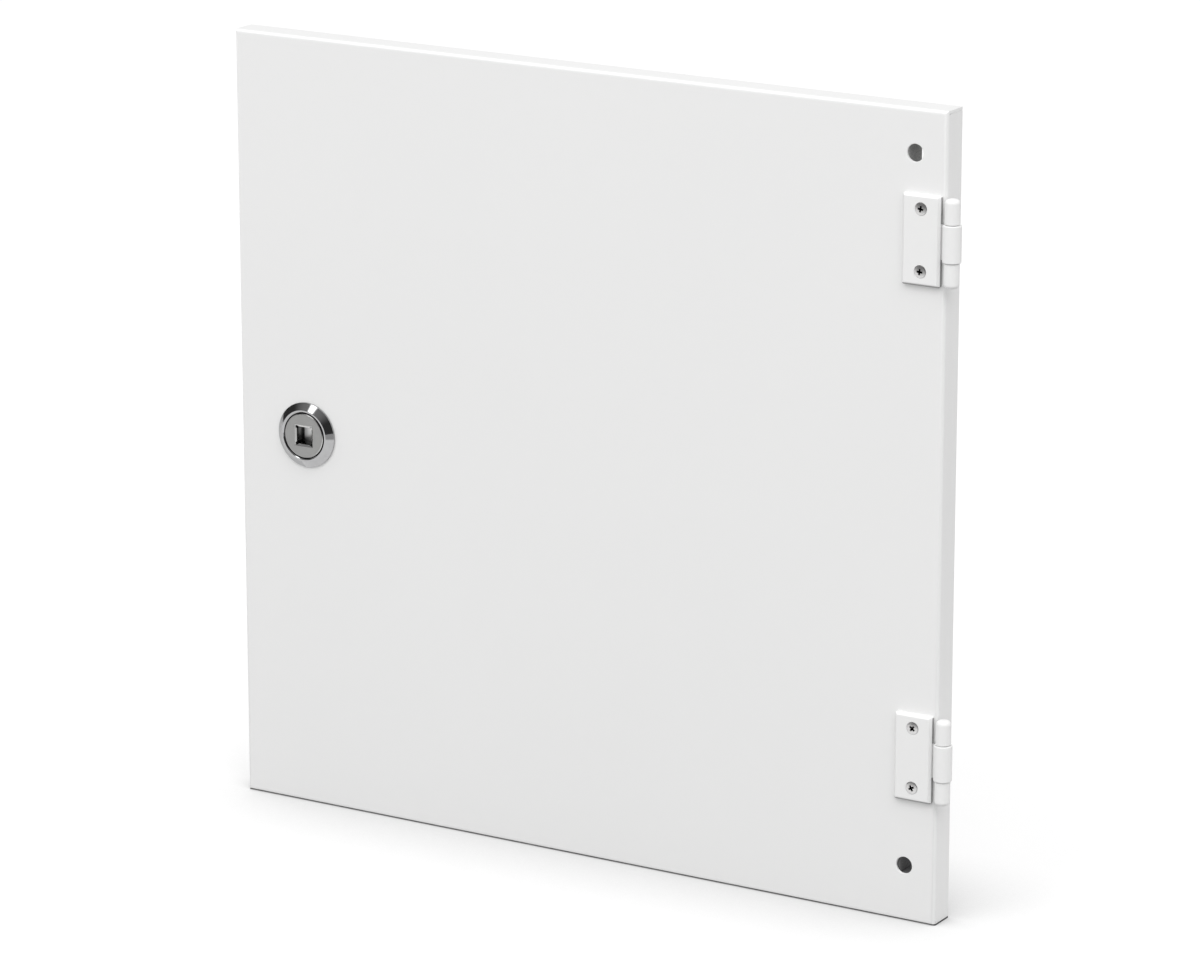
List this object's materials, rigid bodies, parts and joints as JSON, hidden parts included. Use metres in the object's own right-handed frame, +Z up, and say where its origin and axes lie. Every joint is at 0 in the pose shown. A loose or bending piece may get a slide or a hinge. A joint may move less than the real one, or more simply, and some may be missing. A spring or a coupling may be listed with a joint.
{
  "type": "rack door",
  "caption": "Square folded sheet-steel rack door with bevelled screw-on barrel hinges on one edge and a square-key quarter-turn lock with a turning cam near the other.",
  "frame": {"origin": "on the hinge axis, at the foot of the lower hinge's barrel", "axes": "+Z up the hinge axis, +X to the right seen from the front, +Y into the cabinet; the door lies to the left of the hinge axis"},
  "size_m": [0.4085, 0.0343, 0.4],
  "materials": {
    "white_powder_coat": "fine satin powder coat",
    "white_hinge_paint": "satin powder coat on a casting",
    "polished_chrome": "polished",
    "satin_nickel": "satin",
    "nickel_plated_steel": "plated",
    "zinc_plated_steel": "zinc plated",
    "bright_steel": "ground",
    "black_foam": "fine closed cells",
    "seal_rubber": "smooth"
  },
  "bodies": {
    "frame_side_hinges": {"upper_hinge_top_knuckle": "white_hinge_paint", "upper_hinge_bottom_knuckle": "white_hinge_paint", "lower_hinge_top_knuckle": "white_hinge_paint", "lower_hinge_bottom_knuckle": "white_hinge_paint", "upper_hinge_pin": "bright_steel", "lower_hinge_pin": "bright_steel"},
    "door": {"door_pan": "white_powder_coat", "top_foam_strip": "black_foam", "bottom_foam_strip": "black_foam", "lock_side_foam_strip": "black_foam", "hinge_side_foam_strip": "black_foam", "upper_hinge_leaf": "white_hinge_paint", "lower_hinge_leaf": "white_hinge_paint", "hinge_screws": "nickel_plated_steel", "hinge_washers": "zinc_plated_steel", "hinge_nuts": "zinc_plated_steel", "lock_housing": "polished_chrome", "lock_nut": "zinc_plated_steel"},
    "lock_core": {"lock_insert": "satin_nickel", "lock_seal": "seal_rubber", "stop_washer": "zinc_plated_steel", "lock_cam": "zinc_plated_steel", "cam_washer": "zinc_plated_steel", "cam_screw": "zinc_plated_steel"}
  },
  "joints": [
    {"name": "door_swing", "type": "hinge", "parent": "frame_side_hinges", "child": "door", "pos_m": [0, 0, 0], "axis": [0, 0, 1], "range_deg": [0, 180]},
    {"name": "lock_turn", "type": "hinge", "parent": "door", "child": "lock_core", "pos_m": [-0.364, 0, 0.1331], "axis": [0, 1, 0], "range_deg": [0, 90]}
  ]
}
